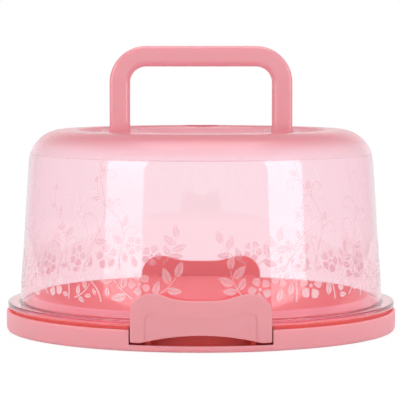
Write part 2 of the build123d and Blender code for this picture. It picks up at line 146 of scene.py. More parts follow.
def moulded_plastic(
    name, light, deep, roughness, grain_mm, grain_height_mm, specular, milkiness, painted_shading_zones=()
):
    """Pigmented plastic: slow drifts of pigment and of polish, the mould's texture, drawn coarser
    than the real one so that it shows, and light that wanders inside, most of all the red. Each
    zone paints light or shade: its colour out to the first of its distances, gone at the second."""
    material, tree, output, place = new_material(name)
    drift = add_node(
        tree,
        "ShaderNodeTexNoise",
        {"Vector": place, "Scale": per_mm(PIGMENT_DRIFT_MM), "Detail": 2.0},
    ).outputs["Fac"]
    colour = add_node(
        tree,
        "ShaderNodeMix",
        {"Factor": drift, 6: linear(deep), 7: linear(light)},
        data_type="RGBA",
    ).outputs[2]
    # Painted light and shade: each zone swaps its colour in by the distance from the upright axis.
    for painted_shading_colour, near_mm, far_mm in painted_shading_zones:
        inside = add_node(
            tree,
            "ShaderNodeMapRange",
            {
                "Value": distance_out(tree, place),
                "From Min": near_mm * MM,
                "From Max": far_mm * MM,
                "To Min": 1.0,
                "To Max": 0.0,
            },
            interpolation_type="SMOOTHSTEP",
        ).outputs["Result"]
        colour = add_node(
            tree,
            "ShaderNodeMix",
            {"Factor": inside, 6: colour, 7: linear(painted_shading_colour)},
            data_type="RGBA",
        ).outputs[2]
    grain = add_node(
        tree, "ShaderNodeTexNoise", {"Vector": place, "Scale": per_mm(grain_mm), "Detail": 4.0}
    ).outputs["Fac"]
    bump = add_node(
        tree,
        "ShaderNodeBump",
        {"Height": grain, "Distance": grain_height_mm * MM, "Strength": 1.0},
    ).outputs["Normal"]
    shader = add_node(
        tree,
        "ShaderNodeBsdfPrincipled",
        {
            "Base Color": colour,
            "Roughness": mould_polish(tree, place, roughness),
            "Normal": bump,
            "IOR": POLYPROPYLENE_IOR,
            "Specular IOR Level": specular,
            "Subsurface Weight": milkiness,
            "Subsurface Scale": RED_WANDERS_MM * MM,
            "Subsurface Radius": WANDER_SHARES,
        },
    )
    tree.links.new(shader.outputs["BSDF"], output.inputs["Surface"])
    return material


def clear_plastic(
    name, skin, crown, body, depth_mm, roughness, wave_mm, wave_height_mm, clear_share
):
    """Clear tinted plastic. body is the colour left of white light after depth_mm of it, so a long
    way through a rim or an edge looks deep. The surface's own colour goes from skin to crown
    towards the top, outside the dish. Lamps shine straight through, so what it covers is lit."""
    material, tree, output, place = new_material(name)
    height = add_node(tree, "ShaderNodeSeparateXYZ", {"Vector": place}).outputs["Z"]
    climb = add_node(
        tree,
        "ShaderNodeMapRange",
        {"Value": height, "From Min": CROWN_FROM_MM * MM, "From Max": CROWN_TO_MM * MM},
        interpolation_type="SMOOTHSTEP",
    ).outputs["Result"]
    outside = add_node(
        tree,
        "ShaderNodeMapRange",
        {
            "Value": distance_out(tree, place),
            "From Min": DISH_WALL_MM * MM,
            "From Max": CREST_MM * MM,
            "To Max": climb,
        },
        interpolation_type="SMOOTHSTEP",
    ).outputs["Result"]
    surface = add_node(
        tree,
        "ShaderNodeMix",
        {"Factor": outside, 6: linear(skin), 7: linear(crown)},
        data_type="RGBA",
    ).outputs[2]
    waves = add_node(
        tree, "ShaderNodeTexNoise", {"Vector": place, "Scale": per_mm(wave_mm), "Detail": 1.0}
    ).outputs["Fac"]
    bump = add_node(
        tree,
        "ShaderNodeBump",
        {"Height": waves, "Distance": wave_height_mm * MM, "Strength": 1.0},
    ).outputs["Normal"]
    shader = add_node(
        tree,
        "ShaderNodeBsdfPrincipled",
        {
            "Base Color": surface,
            "Roughness": mould_polish(tree, place, roughness),
            "Normal": bump,
            "IOR": STYRENE_IOR,
            "Transmission Weight": clear_share,
        },
    ).outputs["BSDF"]
    film = add_node(tree, "ShaderNodeBsdfTransparent", {"Color": linear(skin)}).outputs["BSDF"]
    path = add_node(tree, "ShaderNodeLightPath")
    mixed = add_node(
        tree, "ShaderNodeMixShader", {0: path.outputs["Is Shadow Ray"], 1: shader, 2: film}
    )
    tree.links.new(mixed.outputs["Shader"], output.inputs["Surface"])
    # Light left after a depth is exp(-taken * depth), so taken is -log(light left) / depth.
    taken = [-math.log(share) / (depth_mm * MM) for share in linear(body)[:3]]
    density = max(taken)
    tint = [1.0 - part / density for part in taken]
    absorbed = add_node(
        tree, "ShaderNodeVolumeAbsorption", {"Color": (*tint, 1.0), "Density": density}
    )
    tree.links.new(absorbed.outputs["Volume"], output.inputs["Volume"])
    return material


# ----------------------------------------------------------------------------------- steel and ink

WIRE_LINE_MM = 0.15
WIRE_LINE_HEIGHT_MM = 0.01
ALONG_WIRE = (0.05, 1.0, 1.0)  # draws the lines out twenty times along the pins, which lie in X
WIRE_ROUGHNESS = (0.22, 0.4)
INK_MOTTLE_MM = 1.2
INK_COVER_LOW, INK_COVER_HIGH = 0.72, 0.34  # share of the wall hidden, low down and high up
INK_THINS_FROM_MM, INK_THINS_TO_MM = 38.0, 50.0
INK_UNEVEN = 0.04
INK_ROUGHNESS = 0.55
INK_LETS_THROUGH = 0.3


def drawn_steel():
    """Cold-drawn steel wire: bright, with lines along it that stretch the highlights, drawn coarser
    than the real ones so that they show."""
    material, tree, output, place = new_material("cold_drawn_steel_wire")
    along = add_node(
        tree, "ShaderNodeMapping", {"Vector": place, "Scale": ALONG_WIRE}
    ).outputs["Vector"]
    lines = add_node(
        tree, "ShaderNodeTexNoise", {"Vector": along, "Scale": per_mm(WIRE_LINE_MM), "Detail": 3.0}
    ).outputs["Fac"]
    rough = add_node(
        tree,
        "ShaderNodeMapRange",
        {
            "Value": lines,
            "From Min": NOISE_LOW,
            "From Max": NOISE_HIGH,
            "To Min": WIRE_ROUGHNESS[0],
            "To Max": WIRE_ROUGHNESS[1],
        },
    ).outputs["Result"]
    bump = add_node(
        tree,
        "ShaderNodeBump",
        {"Height": lines, "Distance": WIRE_LINE_HEIGHT_MM * MM, "Strength": 1.0},
    ).outputs["Normal"]
    shader = add_node(
        tree,
        "ShaderNodeBsdfPrincipled",
        {"Base Color": linear("#C3C5C7"), "Metallic": 1.0, "Roughness": rough, "Normal": bump},
    )
    tree.links.new(shader.outputs["BSDF"], output.inputs["Surface"])
    return material


def printed_ink():
    """Screen-printed ink: pale, matt and thin, so the tinted wall shows through it, and thinner
    higher up. How much it covers is worked out from the height, plus a fine mottle."""
    material, tree, output, place = new_material("screen_printed_ink")
    mottle = add_node(
        tree, "ShaderNodeTexNoise", {"Vector": place, "Scale": per_mm(INK_MOTTLE_MM), "Detail": 3.0}
    ).outputs["Fac"]
    height = add_node(tree, "ShaderNodeSeparateXYZ", {"Vector": place}).outputs["Z"]
    thick = add_node(
        tree,
        "ShaderNodeMapRange",
        {
            "Value": height,
            "From Min": INK_THINS_FROM_MM * MM,
            "From Max": INK_THINS_TO_MM * MM,
            "To Min": INK_COVER_LOW,
            "To Max": INK_COVER_HIGH,
        },
        interpolation_type="SMOOTHSTEP",
    ).outputs["Result"]
    uneven = add_node(
        tree,
        "ShaderNodeMapRange",
        {
            "Value": mottle,
            "From Min": NOISE_LOW,
            "From Max": NOISE_HIGH,
            "To Min": -INK_UNEVEN,
            "To Max": INK_UNEVEN,
        },
    ).outputs["Result"]
    cover = add_node(tree, "ShaderNodeMath", {0: thick, 1: uneven}, operation="ADD").outputs[0]
    colour = add_node(
        tree,
        "ShaderNodeMix",
        {"Factor": mottle, 6: linear("#FCEAEE"), 7: linear("#FFF5F7")},
        data_type="RGBA",
    ).outputs[2]
    matt = add_node(
        tree, "ShaderNodeBsdfPrincipled", {"Base Color": colour, "Roughness": INK_ROUGHNESS}
    ).outputs["BSDF"]
    through = add_node(tree, "ShaderNodeBsdfTranslucent", {"Color": colour}).outputs["BSDF"]
    lit = add_node(
        tree, "ShaderNodeMixShader", {0: INK_LETS_THROUGH, 1: matt, 2: through}
    ).outputs["Shader"]
    bare = add_node(tree, "ShaderNodeBsdfTransparent").outputs["BSDF"]
    mixed = add_node(tree, "ShaderNodeMixShader", {0: cover, 1: bare, 2: lit})
    tree.links.new(mixed.outputs["Shader"], output.inputs["Surface"])
    return material


# -------------------------------------------------------------------------------- the print's field

DOME_FOOT_MM = 139.8
DOME_FOOT_HEIGHT_MM = 21.5
DOME_SLOPE = math.tan(math.radians(3.84))
WRAP_RADIUS_MM = 136.0
HALF_AROUND_MM = math.pi * WRAP_RADIUS_MM
PRINT_LOW_MM, PRINT_HIGH_MM = 31.0, 131.0
PRINT_MARGIN_MM = 1.0
INK_GAP_MM = 0.03
CELL_MM = 0.5
CROWDED = 0.01  # share of a patch's squares that may be taken already


def wrapped(flat):
    """(s, h) to the dome's cone: turned by s over the wrapping radius, at height h, a hair off the
    wall, whose radius shrinks by the slope times the height above its foot."""
    s, h = flat[..., 0], flat[..., 1]
    radius = DOME_FOOT_MM - (h - DOME_FOOT_HEIGHT_MM) * DOME_SLOPE + INK_GAP_MM
    turn = s / WRAP_RADIUS_MM
    return np.stack([radius * np.sin(turn), -radius * np.cos(turn), h], -1) * MM


def refined(grid, step):
    """The grid with straight steps put in both ways, until each is shorter than step."""
    for axis in (0, 1):
        count = grid.shape[axis]
        longest = np.abs(np.diff(grid, axis=axis)).sum(-1).max()
        at = np.linspace(0.0, count - 1.0, int((count - 1) * max(longest / step, 1.0)) + 1)
        low = np.minimum(at.astype(int), count - 2)
        share = (at - low).reshape((-1, 1, 1) if axis == 0 else (1, -1, 1))
        grid = np.take(grid, low, axis) * (1 - share) + np.take(grid, low + 1, axis) * share
    return grid


class VinePrint:
    """Patches of quads on the flat pattern, and a map of the small squares that they cover. The
    pattern goes half round the dome, from the middle of one side to the other, and the rear half
    repeats it."""

    def __init__(self):
        self.points, self.quads, self.count = [], [], 0
        self.taken = np.zeros((int(HALF_AROUND_MM / CELL_MM), int(PRINT_HIGH_MM / CELL_MM)), bool)

    def squares(self, grid):
        """Where on the map the patch lies: its squares round the wall, and up it."""
        fine = refined(grid, CELL_MM)
        across = np.floor(fine[..., 0] / CELL_MM).astype(int) % self.taken.shape[0]
        up = np.floor(fine[..., 1] / CELL_MM).astype(int)
        return across, up

    def fits(self, grids, spared=0.0):
        """True if the patches lie within the band, on squares that are still bare. spared is the
        share of each patch at its root that may touch what it grows from."""
        for grid in grids:
            h = grid[..., 1]
            if h.min() < PRINT_LOW_MM or h.max() > PRINT_HIGH_MM - PRINT_MARGIN_MM:
                return False
            across, up = self.squares(grid)
            first = int(spared * len(across))
            if self.taken[across[first:], up[first:]].mean() > CROWDED:
                return False
        return True

    def add(self, grids):
        """Keeps the patches, facing outwards, and marks their squares and the ones next to them."""
        for grid in grids:
            across, up = self.squares(grid)
            for shift in (-1, 0, 1):
                for rise in (-1, 0, 1):
                    self.taken[(across + shift) % self.taken.shape[0], up + rise] = True
            rows, columns = grid.shape[:2]
            index = np.arange(rows * columns).reshape(rows, columns) + self.count
            quads = np.stack([index[:-1, :-1], index[:-1, 1:], index[1:, 1:], index[1:, :-1]], -1)
            along, across = np.diff(grid, axis=0)[:, :-1], np.diff(grid, axis=1)[:-1]
            if (across[..., 0] * along[..., 1] - across[..., 1] * along[..., 0]).sum() < 0:
                quads = quads[..., ::-1]
            self.points.append(wrapped(grid).reshape(-1, 3))
            self.quads.append(quads.reshape(-1, 4))
            self.count += rows * columns

    def add_if_fits(self, grids, spared=0.0):
        """Keeps the patches if there is room for all of them, and says whether it did."""
        if self.fits(grids, spared):
            self.add(grids)
            return True
        return False

    def mesh(self, name):
        """The front half, and the same turned half round the upright axis."""
        front, quads = np.concatenate(self.points), np.concatenate(self.quads)
        rear = front * (-1.0, -1.0, 1.0)
        points = np.concatenate([front, rear])
        faces = np.concatenate([quads, quads + self.count])
        mesh = bpy.data.meshes.new(name)
        mesh.from_pydata(points.tolist(), [], faces.tolist())
        mesh.update()
        return mesh


# ------------------------------------------------------------------------------ the print's shapes

PATH_STEP_MM, PATH_POINTS = 1.1, 10  # about the length of a step, and the fewest points
LEAF_GRID = (11, 3)  # points along half a leaf, and across it
LEAF_START = 0.06  # share of its length that is bare at the root
MIDRIB_MM, MIDRIB_TAPER_MM = 0.05, 0.22  # half its width at the tip, and what the root has more
LEAST_INK_MM = 0.04  # on either side of the midrib
DISC_POINTS = 11
DISC_RINGS = (0.02, 1.0)
PETALS = 5
PETAL_GRID = (9, 5)
PETAL_START = 0.26  # share of a blossom's radius that is bare round its middle
PETAL_FILL, PETAL_WIDEST = 0.92, 0.62  # share of the arc that petals fill, and where on the radius
EYE = 0.15  # share of a blossom's radius


def turned(grid, angle, origin):
    """A grid drawn about (0, 0), turned by angle and moved to origin."""
    c, s = math.cos(angle), math.sin(angle)
    return grid @ np.array([[c, s], [-s, c]]) + np.asarray(origin)


def curve(start, heading, length, bend):
    """Path whose heading is heading plus bend(t), with t from 0 to 1: the running sum of its
    steps."""
    t = np.linspace(0.0, 1.0, max(int(length / PATH_STEP_MM), PATH_POINTS))
    angles = heading + bend(t)
    steps = np.stack([np.cos(angles), np.sin(angles)], -1)[:-1] * (length / (len(t) - 1))
    return t, np.concatenate([np.zeros((1, 2)), np.cumsum(steps, 0)]) + np.asarray(start), angles


def ribbon(path, angles, width):
    """Strip on both sides of a path: each point moved by half the width along the path's normal."""
    side = np.stack([-np.sin(angles), np.cos(angles)], -1) * (width / 2)[:, None]
    return [np.stack([path - side, path + side], 1)]


def leaf(root, heading, length, width, curl):
    """Two halves of a pointed oval, parted by a bare midrib. Half-width is a sine of the way along,
    fullest below the middle, and the midrib bends by curl times the square of that way."""
    t = np.linspace(0.0, 1.0, LEAF_GRID[0])
    half = width / 2 * np.sin(math.pi * t**0.8) ** 0.9
    rib = MIDRIB_TAPER_MM * (1 - t) + MIDRIB_MM
    along = length * (LEAF_START + (1 - LEAF_START) * t)
    spine = np.stack([along, curl * length * t**2], -1)
    inked = np.maximum(half - rib, LEAST_INK_MM)
    halves = []
    for sign in (1, -1):
        offset = rib[:, None] + inked[:, None] * np.linspace(0.0, 1.0, LEAF_GRID[1])
        grid = spine[:, None, :] + np.stack([np.zeros_like(offset), sign * offset], -1)
        halves.append(turned(grid, heading, root))
    return halves


def disc(centre, radius):
    """Small disc, as rings of points from its middle to its edge."""
    turn = np.linspace(0.0, 2 * math.pi, DISC_POINTS)
    rings = np.array(DISC_RINGS) * radius
    grid = np.stack([rings[:, None] * np.cos(turn), rings[:, None] * np.sin(turn)], -1)
    return [grid + np.asarray(centre)]


def blossom(centre, radius, turn):
    """Ring of separate petals about a round eye: half-width is a sine of the way out, fullest past
    the middle, and each tip has a shallow point."""
    t = np.linspace(0.0, 1.0, PETAL_GRID[0])
    full = PETAL_FILL * math.pi * PETAL_WIDEST / PETALS * radius
    half = full * np.sin(math.pi * t**1.35 * 0.97 + 0.05) ** 0.8
    share = np.linspace(-1.0, 1.0, PETAL_GRID[1])
    reach = radius * (PETAL_START + (1 - PETAL_START) * t)
    grids = []
    for k in range(PETALS):
        grid = np.stack([reach[:, None] + 0 * share, half[:, None] * share], -1)
        grids.append(turned(grid, turn + 2 * math.pi * k / PETALS, centre))
    return grids + disc(centre, EYE * radius)


# ------------------------------------------------------------------------------ the print's growth

PRINT_SEED = 7
UPRIGHT = math.pi / 2
# Pairs are the least and the most of a random draw, unless they say otherwise. LEAN is in radians,
# away from upright or from what the piece grows on, and PLACES are shares of the way along that.
# ROOT is the share of a growth, at its root, that may touch what it grows from, and TAPER_MM is how
# much narrower it is at its tip.
TENDRIL_MM, TENDRIL_TAPER_MM, TENDRIL_ROOT = 1.0, 0.45, 0.12
TENDRIL_PLACES = (0.2, 0.36, 0.5, 0.64, 0.8)
TENDRIL_LEAN = (0.55, 0.8)
TENDRIL_LENGTH = (0.30, 0.40)  # over the stem's
TENDRIL_BEND = 0.35
TENDRIL_WIND, TENDRIL_TIGHTENS = (4.6, 5.6), 2.3
BERRY_MM, BERRY_ROOT = 1.15, 0.6
LEAF_SHAPE = 0.47  # width over length
LEAF_ROOT = 0.25
LEAF_CURL, TIP_CURL = 0.12, 0.1
STEM_MM, STEM_TAPER_MM, STEM_MARGIN_MM = 1.25, 0.6, 2.0
STEM_SWINGS, STEM_DRIFT = 2.3, 0.3
STEM_LEAF_PLACES = (0.12, 0.27, 0.43, 0.57, 0.7, 0.86)
STEM_LEAF_LEAN = (0.7, 1.0)
STEM_LEAF_MM, STEM_TIP_LEAF_MM = (11.0, 14.0), 8.0
STALK_MM, STALK_TAPER_MM, STALK_ROOT = 1.1, 0.5, 0.1
STALK_BEND = 0.7
STALK_LEAF_PLACES = (0.78, 0.6, 0.42, 0.24)
STALK_LEAF_LEAN = (0.65, 0.95)
STALK_LEAF, STALK_LEAF_VARIES = 0.5, (0.85, 1.1)  # length over the stalk's, and times that
STALK_LEAF_CHANCE = 0.8
STEMS = (
    # start round the wall, heading, length, sway, side of the first tendril
    (-74.0, 1.75, 72.0, 0.55, 1),
    (-104.0, 1.5, 104.0, 0.5, -1),
    (-152.0, 1.45, 112.0, 0.4, 1),
    (70.0, 1.35, 82.0, 0.5, -1),
    (106.0, 1.6, 112.0, 0.5, 1),
    (138.0, 1.55, 76.0, 0.6, -1),
)
BLOSSOMS = (
    # place round the wall, height, radius
    (-44.0, 47.0, 8.5),
    (-64.0, 42.0, 11.0),
    (-88.0, 45.0, 9.0),
    (-120.0, 43.0, 10.0),
    (-160.0, 46.0, 9.0),
    (-200.0, 44.0, 10.0),
    (42.0, 43.0, 9.0),
    (58.0, 52.0, 8.0),
    (80.0, 44.0, 10.5),
    (114.0, 47.0, 9.0),
    (150.0, 43.0, 9.5),
    (178.0, 48.0, 8.5),
)
BLOSSOM_SHIFTS_MM = (0.0, 3.0, -3.0, 6.0, -6.0, 9.0)
BLOSSOM_TURN = (0.0, 1.2)
SPRIGS_MM = (-208.0, 208.0, 10.0)  # first, end, spacing
SPRIG_BARE_MM = 26.0  # none this near to the middle, over the latch
SPRIG_RISE_MM, SPRIG_MM = (1.5, 6.0), (20.0, 28.0)
SPRIG_LEAN = (0.6, 1.3)
LEAVES_MM = (-210.0, 210.0)  # first, end
LEAF_ROWS_MM = ((2.0, 7.0), (12.0, 11.0))  # rise above the print's foot, spacing
LEAF_BARE_MM = 24.0
LEAF_STRAY_MM, LEAF_RISE_MM, LEAF_MM = (-2.0, 2.0), (0.0, 5.0), (10.0, 14.0)
LEAF_LEAN = (-0.4, 1.5)


def grow_tendril(ink, rng, root, heading, length, side):
    """Spiral with a berry at its end. It turns by its bend times the way along it, plus its wind
    times a power of that way, so it tightens. Shorter ones are tried until one fits."""
    for shorter in (1.0, 0.82, 0.66, 0.5):
        wind = rng.uniform(*TENDRIL_WIND)
        t, path, angles = curve(
            root,
            heading,
            length * shorter,
            lambda t: side * (TENDRIL_BEND * t + wind * t**TENDRIL_TIGHTENS),
        )
        strip = ribbon(path, angles, TENDRIL_MM - TENDRIL_TAPER_MM * t)
        if ink.fits(strip, TENDRIL_ROOT):
            ink.add(strip)
            ink.add_if_fits(disc(path[-1], BERRY_MM), BERRY_ROOT)
            return


def grow_leaf(ink, root, heading, length, curl):
    """A leaf, turned and shortened until it fits."""
    for shorter in (1.0, 0.85, 0.7, 0.56):
        for turn in (0.0, 0.3, -0.3):
            size = length * shorter
            drawn = leaf(root, heading + turn, size, LEAF_SHAPE * size, curl)
            if ink.add_if_fits(drawn, LEAF_ROOT):
                return


def grow_stem(ink, root, heading, length, sway, side):
    """A stem whose heading swings as a sine of the way along it, and leans to one side as it
    climbs. It stops short of the band's top. Gives its path and headings, for what grows on it."""
    t, path, angles = curve(
        root,
        heading,
        length,
        lambda t: sway * np.sin(STEM_SWINGS * math.pi * t) + STEM_DRIFT * side * t,
    )
    inside = path[:, 1] < PRINT_HIGH_MM - STEM_MARGIN_MM
    last = len(t) if inside.all() else int(np.argmin(inside))
    t, path, angles = t[:last], path[:last], angles[:last]
    ink.add(ribbon(path, angles, STEM_MM - STEM_TAPER_MM * t))
    return path, angles


def dress_stem(ink, rng, path, angles, length, side):
    """Tendrils and leaves on alternate sides of a stem, smaller towards its tip."""
    for k, share in enumerate(TENDRIL_PLACES):
        at = int(share * (len(path) - 1))
        turn = side if k % 2 == 0 else -side
        reach = length * rng.uniform(*TENDRIL_LENGTH) * (1.15 - 0.6 * share)
        heading = angles[at] + turn * rng.uniform(*TENDRIL_LEAN)
        grow_tendril(ink, rng, path[at], heading, reach, turn)
    for k, share in enumerate(STEM_LEAF_PLACES):
        at = int(share * (len(path) - 1))
        turn = -side if k % 2 == 0 else side
        size = rng.uniform(*STEM_LEAF_MM) * (1.1 - 0.5 * share)
        heading = angles[at] + turn * rng.uniform(*STEM_LEAF_LEAN)
        grow_leaf(ink, path[at], heading, size, -LEAF_CURL * turn)
    grow_leaf(ink, path[-1], angles[-1], STEM_TIP_LEAF_MM, TIP_CURL)


def grow_sprig(ink, rng, root, heading, length, side):
    """A short stalk that bends as a power of the way along it, with a leaf at its tip and pairs of
    leaves down its sides."""
    for shorter in (1.0, 0.85, 0.7):
        t, path, angles = curve(
            root, heading, length * shorter, lambda t: STALK_BEND * side * t**1.5
        )
        stalk = ribbon(path, angles, STALK_MM - STALK_TAPER_MM * t)
        clear = path[:, 1].min() >= PRINT_LOW_MM + PRINT_MARGIN_MM
        if clear and ink.fits(stalk, STALK_ROOT):
            break
    else:
        return
    ink.add(stalk)
    size = STALK_LEAF * length * shorter
    grow_leaf(ink, path[-1], angles[-1], size, TIP_CURL * side)
    for share in STALK_LEAF_PLACES:
        at = int(share * (len(path) - 1))
        for turn in (side, -side):
            if rng.random() < STALK_LEAF_CHANCE:
                heading = angles[at] + turn * rng.uniform(*STALK_LEAF_LEAN)
                reach = size * rng.uniform(*STALK_LEAF_VARIES)
                grow_leaf(ink, path[at], heading, reach, -LEAF_CURL * turn)


def draw_vine(ink, rng):
    """A garland of leaves and blossoms round the dome's foot, from which stems climb at the sides,
    and little in front of the latches."""
    stems = []
    for s, heading, length, sway, side in STEMS:
        root = (s, PRINT_LOW_MM + STEM_MARGIN_MM)
        path, angles = grow_stem(ink, root, heading, length, sway, side)
        stems.append((path, angles, length, side))
    for s, h, radius in BLOSSOMS:
        for shift in BLOSSOM_SHIFTS_MM:
            if ink.add_if_fits(blossom((s + shift, h), radius, rng.uniform(*BLOSSOM_TURN))):
                break
    for k, s in enumerate(np.arange(*SPRIGS_MM)):
        side = 1 if k % 2 else -1
        if abs(s) > SPRIG_BARE_MM:
            root = (s, PRINT_LOW_MM + rng.uniform(*SPRIG_RISE_MM))
            heading = UPRIGHT - side * rng.uniform(*SPRIG_LEAN)
            grow_sprig(ink, rng, root, heading, rng.uniform(*SPRIG_MM), side)
    for path, angles, length, side in stems:
        dress_stem(ink, rng, path, angles, length, side)
    for rise, spacing in LEAF_ROWS_MM:
        for s in np.arange(*LEAVES_MM, spacing):
            if abs(s) > LEAF_BARE_MM + rise:
                start = s + rng.uniform(*LEAF_STRAY_MM)
                root = (start, PRINT_LOW_MM + rise + rng.uniform(*LEAF_RISE_MM))
                side = 1 if s > 0 else -1
                heading = UPRIGHT - side * rng.uniform(*LEAF_LEAN)
                grow_leaf(ink, root, heading, rng.uniform(*LEAF_MM), TIP_CURL)


def make_vine_print():
    """The vine printed on the clear wall. It moves with the lid."""
    ink = VinePrint()
    draw_vine(ink, np.random.default_rng(PRINT_SEED))
    piece = bpy.data.objects.new("printed_vine", ink.mesh("printed_vine"))
    bpy.context.scene.collection.objects.link(piece)
    piece.data.materials.append(printed_ink())
    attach(piece, "lid")


# ------------------------------------------------------------------------------------------ studio

WHITE = (1.0, 1.0, 1.0, 1.0)
SKY_LIGHT = 0.78  # the even light on things
SIDE_GREY = 0.6  # what gloss mirrors from the sides
OVERHEAD_GREY = 0.65  # and from above
# How far a direction points back, or up, where what is mirrored starts to change and has changed.
BACK_WHITENS = (0.77, 0.9)
FRONT_GREYS = (-0.5, -0.05)
TOP_GREYS = (0.3, 0.6)
FLOOR_SIZE = 2.2
FLOOR_DROP = 0.0002
FLOOR_PAINT = (0.9, 0.9, 0.9, 1.0)
FLOOR_ROUGHNESS = 0.9
FLOOR_WHITE = 1.03
FLOOR_GLOW = 0.85  # how much of the floor is that white where it is seen: the rest keeps the shadow
AIM_HEIGHT = 0.08
DIM_BELOW, FULL_ABOVE = 0.16, 0.30  # shares of a softbox's height
SOFTBOXES = (
    # name, azimuth, distance, height, width, tall, radiance, share of that low down, mirrored
    ("left_softbox", -48.5, 1.5, 0.43, 0.70, 0.80, 2.3, 0.65, True),
    ("right_softbox", 54.5, 1.5, 0.43, 0.67, 0.80, 2.3, 0.9, True),
    ("backdrop_glow", 180.0, 1.8, 0.6, 2.0, 1.2, 1.2, 1.0, False),
)
OVERHEAD = ("overhead_softbox", (0.0, -0.1, 1.7), 1.4, 1.0, 1.6)  # name, place, sides, radiance


def seen_directly(tree):
    """1 for rays from the camera and for mirrored and transmitted ones, 0 for those that light
    things."""
    path = add_node(tree, "ShaderNodeLightPath")
    either = add_node(
        tree,
        "ShaderNodeMath",
        {0: path.outputs["Is Camera Ray"], 1: path.outputs["Is Glossy Ray"]},
        operation="MAXIMUM",
    )
    return add_node(
        tree,
        "ShaderNodeMath",
        {0: either.outputs[0], 1: path.outputs["Is Transmission Ray"]},
        operation="MAXIMUM",
    ).outputs[0]


def make_world():
    """White wherever it is seen, also through the lid, and a dimmer even light. What gloss mirrors
    is white from behind the carrier and from the camera's side, and greyer from the sides and
    above, so that rounded edges show."""
    world = bpy.data.worlds.new("studio_world")
    bpy.context.scene.world = world
    world.use_nodes = True
    tree = world.node_tree
    tree.nodes.clear()
    heading = add_node(tree, "ShaderNodeTexCoord").outputs["Generated"]
    heading = add_node(tree, "ShaderNodeSeparateXYZ", {"Vector": heading})
    behind = add_node(
        tree,
        "ShaderNodeMapRange",
        {
            "Value": heading.outputs["Y"],
            "From Min": BACK_WHITENS[0],
            "From Max": BACK_WHITENS[1],
            "To Min": SIDE_GREY,
            "To Max": 1.0,
        },
        interpolation_type="SMOOTHSTEP",
    ).outputs["Result"]
    around = add_node(
        tree,
        "ShaderNodeMapRange",
        {
            "Value": heading.outputs["Y"],
            "From Min": FRONT_GREYS[0],
            "From Max": FRONT_GREYS[1],
            "To Min": 1.0,
            "To Max": behind,
        },
        interpolation_type="SMOOTHSTEP",
    ).outputs["Result"]
    mirrored = add_node(
        tree,
        "ShaderNodeMapRange",
        {
            "Value": heading.outputs["Z"],
            "From Min": TOP_GREYS[0],
            "From Max": TOP_GREYS[1],
            "To Min": around,
            "To Max": OVERHEAD_GREY,
        },
        interpolation_type="SMOOTHSTEP",
    ).outputs["Result"]
    # A ray through clear plastic counts as mirrored too, so straight ones are told apart first.
    path = add_node(tree, "ShaderNodeLightPath")
    straight = add_node(
        tree,
        "ShaderNodeMath",
        {0: path.outputs["Is Camera Ray"], 1: path.outputs["Is Transmission Ray"]},
        operation="MAXIMUM",
    ).outputs[0]
    shown = add_node(
        tree, "ShaderNodeMapRange", {"Value": straight, "To Min": mirrored, "To Max": 1.0}
    ).outputs["Result"]
    level = add_node(
        tree,
        "ShaderNodeMapRange",
        {"Value": seen_directly(tree), "To Min": SKY_LIGHT, "To Max": shown},
    ).outputs["Result"]
    sky = add_node(tree, "ShaderNodeBackground", {"Color": WHITE, "Strength": level})
    output = add_node(tree, "ShaderNodeOutputWorld")
    tree.links.new(sky.outputs["Background"], output.inputs["Surface"])


def make_floor():
    """Matt painted floor that keeps the object's shadow, and is nearly white where it is seen."""
    material, tree, output, _ = new_material("painted_studio_floor")
    paint = add_node(
        tree,
        "ShaderNodeBsdfPrincipled",
        {"Base Color": FLOOR_PAINT, "Roughness": FLOOR_ROUGHNESS},
    ).outputs["BSDF"]
    glow = add_node(
        tree, "ShaderNodeEmission", {"Color": WHITE, "Strength": FLOOR_WHITE}
    ).outputs["Emission"]
    share = add_node(
        tree, "ShaderNodeMath", {0: seen_directly(tree), 1: FLOOR_GLOW}, operation="MULTIPLY"
    ).outputs[0]
    mixed = add_node(tree, "ShaderNodeMixShader", {0: share, 1: paint, 2: glow})
    tree.links.new(mixed.outputs["Shader"], output.inputs["Surface"])
    half = FLOOR_SIZE / 2
    corners = [(-half, -half, 0), (half, -half, 0), (half, half, 0), (-half, half, 0)]
    mesh = bpy.data.meshes.new("studio_floor")
    mesh.from_pydata(corners, [], [(0, 1, 2, 3)])
    floor = bpy.data.objects.new("studio_floor", mesh)
    floor.location.z = -FLOOR_DROP
    floor.data.materials.append(material)
    bpy.context.scene.collection.objects.link(floor)


def place_lamp(name, place, width, tall, radiance):
    """Oblong lamp that faces down. Its power is radiance times pi times its area."""
    data = bpy.data.lights.new(name, "AREA")
    data.shape = "RECTANGLE"
    data.size = width
    data.size_y = tall
    data.energy = radiance * math.pi * width * tall
    lamp = bpy.data.objects.new(name, data)
    lamp.location = place
    bpy.context.scene.collection.objects.link(lamp)
    return lamp


